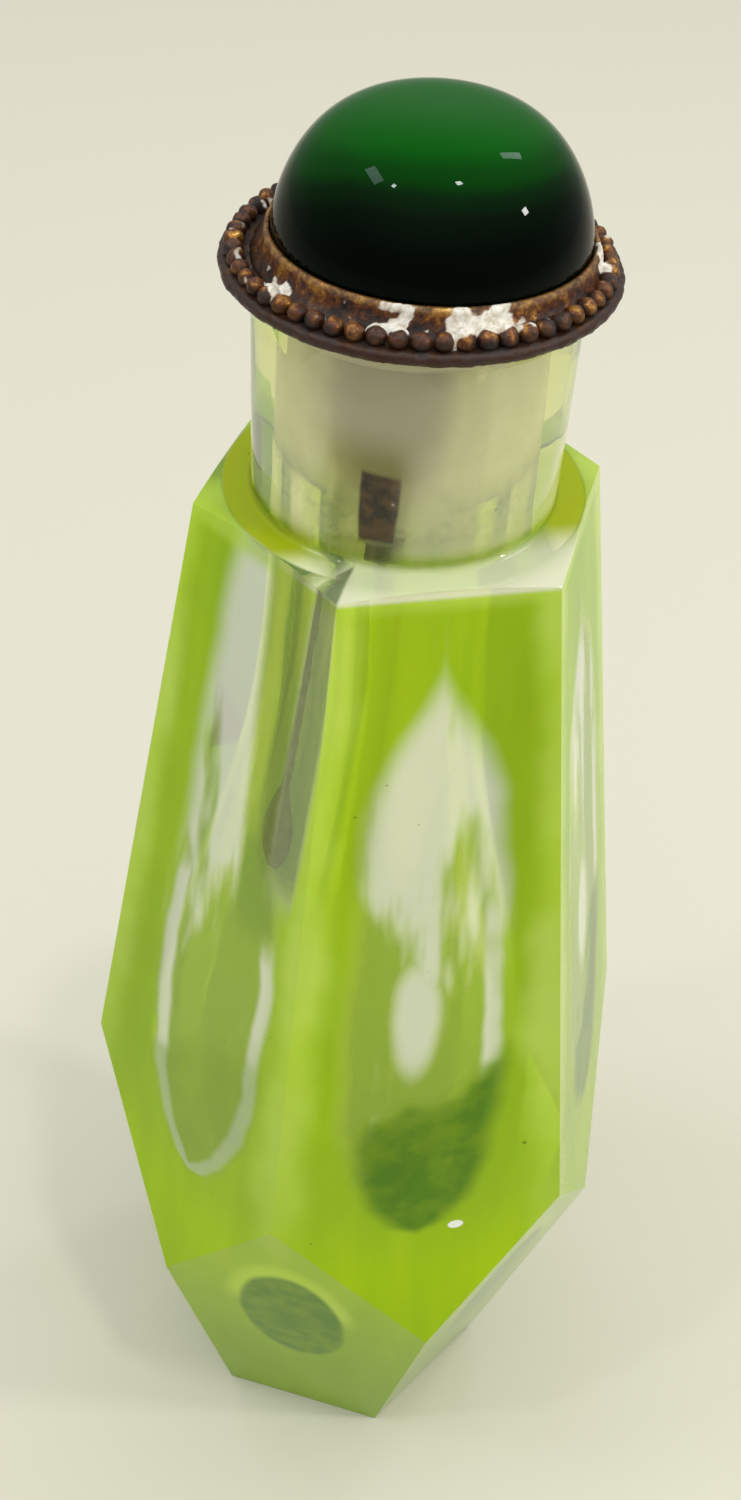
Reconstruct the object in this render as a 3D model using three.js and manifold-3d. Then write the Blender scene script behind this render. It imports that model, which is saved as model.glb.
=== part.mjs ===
// A tall six-sided bottle of cut pale green glass, closed by a round stopper with a small spoon.
// Millimetres, +Z up, with the origin at the centre of the foot. One wide facet faces -Y.
import * as THREE from 'three';
import { mergeVertices } from 'three/addons/utils/BufferGeometryUtils.js';
import Module from 'manifold-3d';

// Outside of the glass
const SIDES = 6;
const LEDGE_HEIGHT = 73.1;          // foot to the flat ledge round the neck
const LEDGE_RADIUS = 7.8;
const LEDGE_SLOPE = 12;             // degrees, fall of the shoulder outside the ledge
const CORNER_LEVEL = 35.6;          // height at which the six upright corners end
const CORNER_RADIUS = 15.8;         // reach of the corners there
const FOOT_APOTHEM = 9.0;           // centre of the foot to the middle of a foot edge
// Hand cutting left the six lower cuts and three of the wide facets a little uneven
const CORNER_RISE = [0.25, -0.6, 0.9, 2.05, 0.25, -1.4];
const LOWER_CUT_TURN = [-0.4, 1.0, -1.0, -2.1, 2.2, 2.3];
const FACET_TURN = [0, 0, 0, 0.7, -1.4, 1.7];

// Neck and mouth
const NECK_RADIUS = 6.55;
const NECK_HEIGHT = 9.7;            // ledge to mouth
const LIP_CHAMFER = 0.5;
const LIP_DROP = 0.8;
const BORE_RADIUS = 3.4;

// Hollow, from the end of the bore to its round bottom
const HOLLOW_FLOOR = 9.0;           // height of the lowest point over the foot
const HOLLOW_RADIUS = 8.2;
const HOLLOW_BELLY = 34;            // height of the widest level
const BORE_END = 66;                // height at which the hollow starts to widen

// Stopper
const CORK_CLEARANCE = 0.1;
const CORK_REACH = 7.9;             // mouth to the end of the cork
const CORK_TAPER = 0.25;
const PLATE_RADIUS = 7.8;
const PLATE_THICKNESS = 0.5;
const BEAD_COUNT = 57;
const BEAD_RADIUS = 0.42;
const BEAD_RING = 7.17;
const BEZEL_HEIGHT = 1.56;          // underside of the plate to the lip of the bezel
const BEZEL_WALL = 0.22;
const BEZEL_FOOT = 0.5;             // how far the bezel's base spreads outside its lip
const DOME_RADIUS = 6.12;
const DOME_RISE = 4.8;              // lip of the bezel to the top of the dome
const DOME_CLEARANCE = 0.06;
const DOME_SHIFT = [0.31, -0.09];   // the dome and its bezel are set a little to one side
const DOME_SHOULDER = 3.0;
const DOME_CROWN = 1.6;

// Peg and spoon
const PEG_RADIUS = 0.87;
const PEG_LENGTH = 5.1;
const PEG_TOP = [-0.5, 0];
const PEG_FOOT = [-0.75, -0.3];
const STEM_RADIUS = 0.3;
const SPOON_TIP = [-3.0, -1.6, 52.5];  // lower end of the bowl
const BOWL_LENGTH = 5.2;
const BOWL_WIDTH = 2.6;
const BOWL_DEPTH = 0.9;
const BOWL_WALL = 0.35;

// Fineness of the round shapes
const ROUND = 48;
const HOLLOW_RINGS = 20;
const DOME_RINGS = 14;

const MOUTH_HEIGHT = LEDGE_HEIGHT + NECK_HEIGHT;
const STEP = Math.PI / SIDES;

const wasm = await Module();
wasm.setup();

function toSolid(geometry) {
  const bare = geometry.index ? geometry.clone() : geometry;
  bare.deleteAttribute('normal');
  bare.deleteAttribute('uv');
  const merged = mergeVertices(bare, 1e-5);
  return new wasm.Manifold(new wasm.Mesh({
    numProp: 3,
    vertProperties: new Float32Array(merged.attributes.position.array),
    triVerts: new Uint32Array(merged.index.array),
  }));
}

function toGeometry(solid) {
  const mesh = solid.getMesh();
  const geometry = new THREE.BufferGeometry();
  geometry.setAttribute('position', new THREE.BufferAttribute(mesh.vertProperties, 3));
  geometry.setIndex(new THREE.BufferAttribute(mesh.triVerts, 1));
  geometry.computeVertexNormals();
  return geometry;
}

// A round shape on the Z axis from [radius, height] pairs, bottom first
function turned(profile, segments = ROUND) {
  const points = profile.map(([radius, height]) => new THREE.Vector2(radius, height));
  return new THREE.LatheGeometry(points, segments).rotateX(Math.PI / 2);
}

// A plane leaning by slope (outward run per unit of rise), at reach from the axis at a height
function cutPlane(azimuth, reach, height, slope) {
  const normal = new THREE.Vector3(Math.cos(azimuth), Math.sin(azimuth), -slope);
  return { normal, constant: reach - slope * height };
}

function meet(a, b, c) {
  const rows = [a, b, c].map((plane) => plane.normal);
  const matrix = new THREE.Matrix3().set(...rows.flatMap((row) => row.toArray()));
  const sides = new THREE.Vector3(a.constant, b.constant, c.constant);
  return sides.applyMatrix3(matrix.invert());
}

// The cut block: wide facets that spread downward, and six lower cuts across the corners
function cutBlock() {
  const facetApothem = CORNER_RADIUS * Math.cos(STEP);
  const spread = (LEDGE_RADIUS - facetApothem) / (LEDGE_HEIGHT - CORNER_LEVEL);
  const level = (height) => ({ normal: new THREE.Vector3(0, 0, 1), constant: height });
  const top = level(LEDGE_HEIGHT);
  const foot = level(0);
  const facets = FACET_TURN.map((turn, i) => cutPlane(
    (2 * i + 1) * STEP + THREE.MathUtils.degToRad(turn), LEDGE_RADIUS, LEDGE_HEIGHT, spread));
  const lowerCuts = CORNER_RISE.map((rise, i) => {
    const height = CORNER_LEVEL + rise;
    const reach = (LEDGE_RADIUS + spread * (height - LEDGE_HEIGHT)) / Math.cos(STEP);
    const slope = (reach - FOOT_APOTHEM) / height;
    return cutPlane(2 * i * STEP + THREE.MathUtils.degToRad(LOWER_CUT_TURN[i]), reach, height, slope);
  });
  const next = (i) => (i + 1) % SIDES;
  const before = (i) => (i + SIDES - 1) % SIDES;
  const points = [];
  for (let i = 0; i < SIDES; i += 1) {
    points.push(meet(top, facets[before(i)], facets[i]));
    points.push(meet(lowerCuts[i], facets[before(i)], facets[i]));
    points.push(meet(facets[i], lowerCuts[i], lowerCuts[next(i)]));
    points.push(meet(foot, lowerCuts[i], lowerCuts[next(i)]));
  }
  const [TOP, CORNER, TIP, FOOT] = [0, 1, 2, 3];
  const at = (i, kind) => 4 * i + kind;
  const outlines = [];
  for (let i = 0; i < SIDES; i += 1) {
    const n = next(i);
    const b = before(i);
    outlines.push([at(i, TOP), at(i, CORNER), at(i, TIP), at(n, CORNER), at(n, TOP)]);
    outlines.push([at(i, CORNER), at(b, TIP), at(b, FOOT), at(i, FOOT), at(i, TIP)]);
  }
  const around = [...Array(SIDES).keys()];
  outlines.push(around.map((i) => at(i, TOP)));
  outlines.push(around.map((i) => at(i, FOOT)).reverse());
  const index = outlines.flatMap((outline) => outline.slice(2).flatMap(
    (corner, k) => [outline[0], outline[k + 1], corner]));
  const geometry = new THREE.BufferGeometry().setFromPoints(points);
  geometry.setIndex(index);
  return geometry;
}

// Flat ledge with the shoulder falling away outside it
function shoulder() {
  const reach = CORNER_RADIUS * 2;
  const fall = (reach - LEDGE_RADIUS) * Math.tan(THREE.MathUtils.degToRad(LEDGE_SLOPE));
  return turned([
    [0, -1],
    [reach, -1],
    [reach, LEDGE_HEIGHT - fall],
    [LEDGE_RADIUS, LEDGE_HEIGHT],
    [0, LEDGE_HEIGHT],
  ]);
}

function neck() {
  return turned([
    [0, LEDGE_HEIGHT - 1],
    [NECK_RADIUS, LEDGE_HEIGHT - 1],
    [NECK_RADIUS, MOUTH_HEIGHT - LIP_DROP],
    [NECK_RADIUS - LIP_CHAMFER, MOUTH_HEIGHT],
    [0, MOUTH_HEIGHT],
  ]);
}

// Half-egg bottom below the belly, and a long smooth throat above it up to the bore
function hollow() {
  const profile = [[0, HOLLOW_FLOOR]];
  const below = HOLLOW_BELLY - HOLLOW_FLOOR;
  const lower = Math.round(HOLLOW_RINGS / 2);
  for (let k = 1; k <= lower; k += 1) {
    const angle = (k / lower) * Math.PI / 2;
    profile.push([HOLLOW_RADIUS * Math.sin(angle), HOLLOW_BELLY - below * Math.cos(angle)]);
  }
  const upper = HOLLOW_RINGS - lower;
  for (let k = 1; k <= upper; k += 1) {
    const share = k / upper;
    const ease = (1 + Math.cos(Math.PI * share)) / 2;
    profile.push([
      BORE_RADIUS + (HOLLOW_RADIUS - BORE_RADIUS) * ease,
      HOLLOW_BELLY + (BORE_END - HOLLOW_BELLY) * share,
    ]);
  }
  profile.push([BORE_RADIUS, MOUTH_HEIGHT + 1], [0, MOUTH_HEIGHT + 1]);
  return turned(profile);
}

function bottle() {
  const outside = toSolid(cutBlock()).intersect(toSolid(shoulder())).add(toSolid(neck()));
  return toGeometry(outside.subtract(toSolid(hollow())));
}

const bezelInside = DOME_RADIUS + DOME_CLEARANCE;
const bezelOutside = bezelInside + BEZEL_WALL;

// Plate, bezel and beads, with a round seat for the dome
function collar() {
  const plate = turned([
    [0, 0],
    [PLATE_RADIUS - PLATE_THICKNESS / 3, 0],
    [PLATE_RADIUS, PLATE_THICKNESS / 3],
    [PLATE_RADIUS - PLATE_THICKNESS / 3, PLATE_THICKNESS],
    [0, PLATE_THICKNESS],
  ], BEAD_COUNT);
  const bezel = turned([
    [0, PLATE_THICKNESS / 2],
    [bezelOutside + BEZEL_FOOT, PLATE_THICKNESS / 2],
    [bezelOutside + BEZEL_FOOT, PLATE_THICKNESS],
    [bezelOutside, BEZEL_HEIGHT - BEZEL_WALL],
    [bezelOutside, BEZEL_HEIGHT],
    [0, BEZEL_HEIGHT],
  ]).translate(...DOME_SHIFT, 0);
  const seat = turned([
    [0, PLATE_THICKNESS],
    [bezelInside, PLATE_THICKNESS],
    [bezelInside, BEZEL_HEIGHT + 1],
    [0, BEZEL_HEIGHT + 1],
  ]).translate(...DOME_SHIFT, 0);
  let metal = toSolid(plate).add(toSolid(bezel)).subtract(toSolid(seat));
  for (let k = 0; k < BEAD_COUNT; k += 1) {
    const angle = (k + 0.5) / BEAD_COUNT * 2 * Math.PI;
    const bead = new THREE.OctahedronGeometry(BEAD_RADIUS, 1).rotateZ(angle);
    bead.translate(BEAD_RING * Math.cos(angle), BEAD_RING * Math.sin(angle), PLATE_THICKNESS + BEAD_RADIUS / 2);
    metal = metal.add(toSolid(bead));
  }
  return toGeometry(metal);
}

// Rounded cabochon: near-upright sides that turn over into a low crown
function dome() {
  const seatHeight = PLATE_THICKNESS;
  const profile = [[0, seatHeight], [DOME_RADIUS - BEZEL_WALL, seatHeight], [DOME_RADIUS, BEZEL_HEIGHT / 2]];
  for (let k = 0; k <= DOME_RINGS; k += 1) {
    const share = Math.sin((k / DOME_RINGS) * Math.PI / 2);
    const radius = DOME_RADIUS * (1 - share ** DOME_CROWN) ** (1 / DOME_SHOULDER);
    profile.push([k === DOME_RINGS ? 0 : radius, BEZEL_HEIGHT + DOME_RISE * share]);
  }
  return turned(profile).translate(...DOME_SHIFT, 0);
}

const corkRadius = BORE_RADIUS - CORK_CLEARANCE;

function cork() {
  return turned([
    [0, -CORK_REACH],
    [corkRadius - CORK_TAPER, -CORK_REACH],
    [corkRadius, -CORK_REACH / 2],
    [corkRadius, 0],
    [0, 0],
  ]);
}

// A leaning round peg whose two ends stay level
function peg() {
  const [topX, topY] = PEG_TOP;
  const lean = new THREE.Matrix4().makeShear(
    0, 0, 0, 0, (topX - PEG_FOOT[0]) / PEG_LENGTH, (topY - PEG_FOOT[1]) / PEG_LENGTH);
  const upright = new THREE.CylinderGeometry(PEG_RADIUS, PEG_RADIUS * 0.9, PEG_LENGTH, 20).rotateX(Math.PI / 2);
  return upright.translate(0, 0, -PEG_LENGTH / 2).applyMatrix4(lean).translate(topX, topY, 0);
}

// Thin round stem that runs from the peg into a small hollowed bowl
function spoon(pegFootHeight) {
  const start = new THREE.Vector3(...PEG_FOOT, pegFootHeight);
  const tip = new THREE.Vector3(...SPOON_TIP);
  const down = tip.clone().sub(start).normalize();
  const bowlTop = tip.clone().addScaledVector(down, -BOWL_LENGTH);
  const section = new THREE.Shape().absarc(0, 0, STEM_RADIUS, 0, 2 * Math.PI);
  const path = new THREE.LineCurve3(start, bowlTop.clone().addScaledVector(down, BOWL_WALL * 2));
  const stem = new THREE.ExtrudeGeometry(section, { extrudePath: path, steps: 1, curveSegments: 8 });
  const egg = (shrink) => new THREE.SphereGeometry(1, 16, 10).scale(
    BOWL_WIDTH / 2 - shrink, BOWL_DEPTH - shrink, BOWL_LENGTH / 2 - shrink);
  const turn = new THREE.Quaternion().setFromUnitVectors(new THREE.Vector3(0, 0, -1), down);
  const centre = bowlTop.clone().add(tip).divideScalar(2);
  const place = new THREE.Matrix4().compose(centre, turn, new THREE.Vector3(1, 1, 1));
  const outer = toSolid(egg(0).applyMatrix4(place));
  const scoop = egg(BOWL_WALL).translate(0, -BOWL_DEPTH / 2, 0).applyMatrix4(place);
  return toGeometry(toSolid(stem).add(outer).subtract(toSolid(scoop)));
}

function piece(name, geometry, colour, roughness, metalness, height) {
  const material = new THREE.MeshStandardMaterial({ color: colour, roughness, metalness });
  const mesh = new THREE.Mesh(geometry, material);
  mesh.name = name;
  mesh.position.z = height;
  return mesh;
}

const pegHeight = MOUTH_HEIGHT - CORK_REACH;
const object = new THREE.Group();
object.add(piece('bottle', bottle(), 0xb4cf74, 0.08, 0, 0));
object.add(piece('stopper_collar', collar(), 0x6a3c1c, 0.6, 0.7, MOUTH_HEIGHT));
object.add(piece('stopper_dome', dome(), 0x0b5a24, 0.06, 0, MOUTH_HEIGHT));
object.add(piece('stopper_cork', cork(), 0xb7ab74, 0.9, 0, MOUTH_HEIGHT));
object.add(piece('spoon_peg', peg(), 0x4a3620, 0.85, 0, pegHeight));
object.add(piece('spoon', spoon(pegHeight - PEG_LENGTH), 0x6e6a38, 0.6, 0, 0));

export default object;
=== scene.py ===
# A tall six-sided bottle of cut pale green glass with a domed green stopper and a little spoon.
import math
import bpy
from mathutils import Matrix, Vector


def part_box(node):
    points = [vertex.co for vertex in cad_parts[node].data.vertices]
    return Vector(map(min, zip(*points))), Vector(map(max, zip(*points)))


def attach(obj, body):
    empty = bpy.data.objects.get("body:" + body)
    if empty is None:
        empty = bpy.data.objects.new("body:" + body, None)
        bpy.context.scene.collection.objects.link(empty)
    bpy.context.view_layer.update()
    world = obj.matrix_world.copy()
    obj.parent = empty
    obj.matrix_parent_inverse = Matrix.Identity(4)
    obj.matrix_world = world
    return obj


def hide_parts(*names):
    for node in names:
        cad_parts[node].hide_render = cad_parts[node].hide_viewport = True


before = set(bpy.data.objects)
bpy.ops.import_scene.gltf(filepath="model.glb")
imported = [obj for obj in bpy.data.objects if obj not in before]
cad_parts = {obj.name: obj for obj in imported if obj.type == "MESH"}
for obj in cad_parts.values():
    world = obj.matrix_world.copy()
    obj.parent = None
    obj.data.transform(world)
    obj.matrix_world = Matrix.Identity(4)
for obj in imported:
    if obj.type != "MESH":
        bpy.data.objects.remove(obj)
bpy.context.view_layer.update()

from types import SimpleNamespace

import bmesh
import bpy
from mathutils import Matrix, Vector, noise

MM = 0.001
UP = Vector((0, 0, 1))
ROUND_STEPS = 128

# Outside of the glass, with the uneven hand-cut facets. Rises are in millimetres, turns in degrees.
SIDES = 6
LEDGE_RADIUS = 7.8 * MM
LEDGE_SLOPE = math.radians(12)
CORNER_LEVEL = 35.6 * MM
CORNER_RADIUS = 15.8 * MM
FOOT_APOTHEM = 9.0 * MM
CORNER_RISE = (0.25, -0.6, 0.9, 2.05, 0.25, -1.4)
LOWER_CUT_TURN = (-0.4, 1.0, -1.0, -2.1, 2.2, 2.3)
FACET_TURN = (0, 0, 0, 0.7, -1.4, 1.7)
EDGE_POLISH = 0.28 * MM
SHARP_EDGE = math.radians(6)

# Neck, mouth and bore
NECK_RADIUS = 6.55 * MM
NECK_FILLET = 0.35 * MM
LIP_CHAMFER = 0.5 * MM
LIP_DROP = 0.8 * MM
BORE_RADIUS = 3.4 * MM
BORE_EASE = 0.1 * MM
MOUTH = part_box("bottle")[1].z
LEDGE = MOUTH - 9.7 * MM

# Hollow
HOLLOW_FLOOR = 9 * MM
HOLLOW_RADIUS = 8.2 * MM
HOLLOW_BELLY = 34 * MM
BORE_END = 66 * MM

# Collar
COLLAR_FOOT, COLLAR_LIP = (corner.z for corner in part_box("stopper_collar"))
PLATE_RADIUS = 7.8 * MM
PLATE_THICKNESS = 0.5 * MM
BEAD_COUNT = 57
BEAD_RADIUS = 0.42 * MM
BEAD_RING = 7.17 * MM
BEZEL_WALL = 0.22 * MM
BEZEL_FOOT = 0.5 * MM
CORROSION = 0.05 * MM

# White crust in the trough inside the beads: middle and half width in degrees, counted from +X
CRUST_PATCHES = ((275, 15), (246, 7), (204, 7), (337, 7), (95, 20))
CRUST_HEIGHT = 0.13 * MM
CRUST_RING = BEAD_RING - 0.4 * MM
CRUST_REACH = 0.55 * MM

# Dome and cork
DOME_LOW, DOME_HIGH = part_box("stopper_dome")
DOME_RADIUS = (DOME_HIGH.x - DOME_LOW.x) / 2
DOME_CENTRE = (DOME_LOW + DOME_HIGH) / 2
DOME_CLEARANCE = 0.06 * MM
DOME_SHOULDER = 3.0
DOME_CROWN = 1.6
CORK_LOW, CORK_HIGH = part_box("stopper_cork")
CORK_RADIUS = (CORK_HIGH.x - CORK_LOW.x) / 2
CORK_TAPER = 0.25 * MM
CORK_PITS = 0.05 * MM

# Peg and spoon
PEG_RADIUS = 0.87 * MM
PEG_TOP = Vector((-0.5, 0, CORK_LOW.z / MM)) * MM
PEG_FOOT = Vector((-0.75, -0.3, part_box("spoon_peg")[0].z / MM)) * MM
PEG_BARK = 0.13 * MM
STEM_RADIUS = 0.3 * MM
SPOON_TIP = Vector((-3.0, -1.6, 52.5)) * MM
SPOON_WEAR = 0.05 * MM
BOWL_LENGTH = 5.2 * MM
BOWL_WIDTH = 2.6 * MM
BOWL_DEPTH = 0.9 * MM
BOWL_WALL = 0.35 * MM

# Window in the milk of each wide facet: half width by height, both in millimetres
WINDOW_SHAPE = ((33.2, 0.0), (34.2, 2.1), (36.0, 3.5), (39.0, 4.5),
                (43.0, 5.0), (50.0, 4.9), (62.0, 3.8), (73.1, 3.2))
WINDOW_FADE = 1.7 * MM
# Those on the left reach the ledge and sit off the middle, and the others close to a point
LEFT_SHIFT = 0.9 * MM
WINDOW_TOP = 71.5 * MM
WINDOW_POINT = 9 * MM
# Height of the green residue in them, and half sizes and height of their oval of painted light
RESIDUE_LEVEL = 43 * MM
LIGHT_OVAL_WIDTH = 1.2 * MM
LIGHT_OVAL_RISE = 3.7 * MM
LIGHT_OVAL_HEIGHT = 49.5 * MM

# Dark oval in each lower cut, where the foot of the hollow shows
OVAL_HEIGHT = 20.2 * MM
OVAL_RISE = 7.6 * MM
OVAL_REACH = 3.3 * MM
OVAL_SHIFT = 0.3 * MM

# Small chip on the front facet, across and up, and its half sizes
CHIP_ACROSS, CHIP_HEIGHT = 2.26 * MM, 33.8 * MM
CHIP_WIDTH, CHIP_RISE = 0.42 * MM, 0.3 * MM

# Strips left clear in front of the spoon and the peg: directions from the axis, and place on the facet
SPOON_SIDE = math.radians(226)
SPOON_ACROSS = 4.1 * MM
PEG_SIDE = math.radians(241)

# How milky the glass is by place. Light that meets the outside from within finds only a share of it.
MILK = 0.68
MILK_FROM_WITHIN = 0.2
OVAL_MILK = 0.95
LIP_MILK = 0.7
NECK_DUST = 0.24

# Satin film on the wall of the hollow
FILM = 0.82
FILM_RUBBED = 0.10
FILM_TOP = 74 * MM

# Glass colours, in pairs where one drifts into the other
DEEP_GREENS = ((0.36, 0.57, 0.001), (0.42, 0.63, 0.002))
# Painted light: pale green along the ridges, on the shoulder and over each dark oval
PAINTED_LIGHT_GREENS = ((0.58, 0.82, 0.05), (0.66, 0.86, 0.14))
DARK_GREENS = ((0.09, 0.23, 0.001), (0.18, 0.32, 0.002))
FOOT_GREEN = (0.16, 0.30, 0.001)
# Window colour, and the painted highlight of the streaks in it
WINDOW_AND_HIGHLIGHT_TONES = ((0.62, 0.80, 0.07), (0.99, 0.99, 0.86))
CRESCENT_OLIVE = (0.42, 0.50, 0.004)
NECK_CREAM = (0.97, 0.94, 0.78)
LIP_TONES = ((0.80, 0.76, 0.50), (0.50, 0.55, 0.03))
SPECK_BROWN = (0.05, 0.06, 0.01)
# Painted highlight along the front of the ledge
LEDGE_HIGHLIGHT_CREAM = (0.97, 0.97, 0.72)
CHIP_WHITE = (0.85, 0.88, 0.80)
INNER_CLEAR = (0.98, 0.99, 0.96)
# Pale satin film, which also stands for painted light between the streaks, and the green of the streaks
FILM_LIGHT_AND_STREAK_TONES = ((0.99, 0.98, 0.84), (0.50, 0.68, 0.01))
SATIN_TONES = ((0.88, 0.83, 0.54), (0.98, 0.95, 0.74))
SMUDGE_OLIVE = (0.24, 0.19, 0.03)
BARK_TONES = ((0.03, 0.015, 0.004), (0.16, 0.08, 0.02))
DEPTH_TINT = (0.82, 0.91, 0.0)
DEPTH_DENSITY = 80

# Name, direction, width, height, brightness and colour of each lamp
WARM_WHITE = (1, 1, 0.95)
LAMPS = (
    ("glint_above", (0.147, -0.309, 0.94), 0.03, 0.03, 140, WARM_WHITE),
    ("glint_right", (0.789, -0.371, 0.489), 0.036, 0.036, 140, WARM_WHITE),
    ("glint_left", (-0.497, -0.18, 0.849), 0.022, 0.022, 130, (0.9, 1, 1)),
    ("window_left", (-0.586, 0.077, 0.807), 0.13, 0.06, 14, (0.75, 0.9, 1)),
    ("window_right", (0.6, 0.25, 0.75), 0.05, 0.10, 16, (0.8, 0.92, 1)),
)
LAMP_DISTANCE = 0.5


def spun(profile, steps=ROUND_STEPS):
    """A closed round solid from (radius, height) points that start and end on the axis."""
    bm = bmesh.new()
    points = [bm.verts.new((radius, 0, height)) for radius, height in profile]
    edges = [bm.edges.new(pair) for pair in zip(points, points[1:])]
    bmesh.ops.spin(bm, geom=points + edges, cent=(0, 0, 0), axis=(0, 0, 1),
                   angle=2 * math.pi, steps=steps, use_merge=True)
    bmesh.ops.remove_doubles(bm, verts=bm.verts, dist=0.0005 * MM)
    bmesh.ops.recalc_face_normals(bm, faces=bm.faces)
    return bm


def arc(centre, radius, start, end, count):
    """Points of a round stretch of a profile, angles in degrees."""
    angles = [math.radians(start + (end - start) * k / count) for k in range(count + 1)]
    return [(centre[0] + radius * math.cos(a), centre[1] + radius * math.sin(a)) for a in angles]


def polar(azimuth, radius=1, height=0):
    """The point at an azimuth, a distance from the axis and a height."""
    return Vector((radius * math.cos(azimuth), radius * math.sin(azimuth), height))


def reach_of(point, centre=Vector()):
    """Distance of a point from the upright line through the centre."""
    return math.hypot(point.x - centre.x, point.y - centre.y)


def piece(bm, name, node, material):
    """Makes the mesh a named smooth piece that rides with the bottle and stands for its solid."""
    mesh = bpy.data.meshes.new(name)
    for face in bm.faces:
        face.smooth = True
    bm.to_mesh(mesh)
    bm.free()
    mesh.materials.append(material)
    obj = bpy.data.objects.new(name, mesh)
    bpy.context.scene.collection.objects.link(obj)
    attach(obj, "root")
    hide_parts(node)
    return obj


def roughen(bm, amount, scale, seed):
    """Moves each point a little along its normal by a fixed noise."""
    bm.normal_update()
    shift = Vector((seed, seed * 0.37, seed * 0.71))
    for v in bm.verts:
        v.co += v.normal * amount * noise.fractal(v.co * scale + shift, 0.6, 2.1, 4)


def rod(bm, start, end, turn, start_radius, end_radius, sides, cuts):
    """A thin round rod between two points, cut across many times so that it can be roughened."""
    length = (end - start).length
    bmesh.ops.create_cone(bm, cap_ends=True, segments=sides, radius1=end_radius, radius2=start_radius,
                          depth=length, matrix=Matrix.Translation((start + end) / 2) @ turn)
    along = [e for e in bm.edges if e.calc_length() > length * 0.8]
    bmesh.ops.subdivide_edges(bm, edges=along, cuts=cuts)


def hollow_profile(lower=28, upper=44):
    """From the bore's foot down the throat and belly to the round bottom."""
    points = []
    for k in range(upper):
        share = 1 - k / upper
        ease = (1 + math.cos(math.pi * share)) / 2
        radius = BORE_RADIUS + (HOLLOW_RADIUS - BORE_RADIUS) * ease
        points.append((radius, HOLLOW_BELLY + (BORE_END - HOLLOW_BELLY) * share))
    for k in range(lower + 1):
        angle = (1 - k / lower) * math.pi / 2
        points.append((HOLLOW_RADIUS * math.sin(angle),
                       HOLLOW_BELLY - (HOLLOW_BELLY - HOLLOW_FLOOR) * math.cos(angle)))
    points[-1] = (0, HOLLOW_FLOOR)
    return points


def cutting_planes():
    """Point and outward normal of the six wide facets and of the six lower cuts."""
    step = math.pi / SIDES
    spread = (LEDGE_RADIUS - CORNER_RADIUS * math.cos(step)) / (LEDGE - CORNER_LEVEL)
    planes = []
    for i in range(SIDES):
        out = polar((2 * i + 1) * step + math.radians(FACET_TURN[i]))
        planes.append((out * LEDGE_RADIUS + UP * LEDGE, out - UP * spread))
    for i in range(SIDES):
        height = CORNER_LEVEL + CORNER_RISE[i] * MM
        reach = (LEDGE_RADIUS + spread * (height - LEDGE)) / math.cos(step)
        slope = (reach - FOOT_APOTHEM) / height
        out = polar(2 * i * step + math.radians(LOWER_CUT_TURN[i]))
        planes.append((out * reach + UP * height, out - UP * slope))
    return planes


def turned_blank():
    """The glass before its facets are cut, with the walls of its bore and hollow marked as inner."""
    blank = CORNER_RADIUS * 1.6
    fall = (blank - LEDGE_RADIUS) * math.tan(LEDGE_SLOPE)
    fillet = arc((NECK_RADIUS + NECK_FILLET, LEDGE + NECK_FILLET), NECK_FILLET, 270, 180, 5)
    outside = [(0, 0), (blank, 0), (blank, LEDGE - fall), (LEDGE_RADIUS, LEDGE)] + fillet
    lip = [(NECK_RADIUS, MOUTH - LIP_DROP), (NECK_RADIUS - LIP_CHAMFER * 0.8, MOUTH - LIP_DROP * 0.12)]
    mouth = [(NECK_RADIUS - LIP_CHAMFER, MOUTH), (BORE_RADIUS + BORE_EASE, MOUTH),
             (BORE_RADIUS, MOUTH - BORE_EASE)]
    bm = spun(outside + lip + mouth + hollow_profile())
    inner = bm.verts.layers.float.new("inner")
    for v in bm.verts:
        reach = reach_of(v.co)
        in_hollow = reach < HOLLOW_RADIUS * 1.01 and HOLLOW_FLOOR * 0.99 < v.co.z < LEDGE - 3 * MM
        in_bore = reach < BORE_RADIUS * 1.01 and v.co.z > BORE_END - MM
        v[inner] = 1.0 if in_hollow or in_bore else 0.0
    return bm


def glass_bottle(material):
    """The turned blank, cut by the facets and then polished along their edges."""
    bm = turned_blank()
    cut = bm.faces.layers.int.new("cut")
    for point, normal in cutting_planes():
        whole = bm.verts[:] + bm.edges[:] + bm.faces[:]
        result = bmesh.ops.bisect_plane(bm, geom=whole, plane_co=point, plane_no=normal, clear_outer=True)
        rim = [e for e in result["geom_cut"] if isinstance(e, bmesh.types.BMEdge)]
        for face in bmesh.ops.edgeloop_fill(bm, edges=rim)["faces"]:
            face[cut] = 1
    bmesh.ops.remove_doubles(bm, verts=bm.verts, dist=0.002 * MM)
    bmesh.ops.recalc_face_normals(bm, faces=bm.faces)
    sharp = [e for e in bm.edges if len(e.link_faces) == 2 and any(face[cut] for face in e.link_faces)
             and e.calc_face_angle(0) > SHARP_EDGE]
    bmesh.ops.bevel(bm, geom=sharp, offset=EDGE_POLISH, offset_type="OFFSET", segments=3, profile=0.5,
                    affect="EDGES", clamp_overlap=True, material=-1)
    glass = piece(bm, "glass_bottle", "bottle", material)
    flats = glass.modifiers.new("flats", "WEIGHTED_NORMAL")
    flats.weight = 100
    flats.keep_sharp = True


def crust_at(point):
    """How thick the white crust is at a point of the collar, from 0 to 1."""
    azimuth = math.degrees(math.atan2(point.y, point.x)) % 360
    near = 0.0
    for middle, half in CRUST_PATCHES:
        off = abs((azimuth - middle + 180) % 360 - 180)
        near = max(near, 1 - off / half)
    in_trough = 1 - abs(reach_of(point) - CRUST_RING) / CRUST_REACH
    above = (point.z - COLLAR_FOOT) / PLATE_THICKNESS - 0.7
    grain = noise.fractal(point * 1100, 0.7, 2.1, 3)
    amount = min(near * 2.2, in_trough * 2, above * 2) + grain * 1.1 - 0.35
    return min(max(amount, 0), 1)


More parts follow.
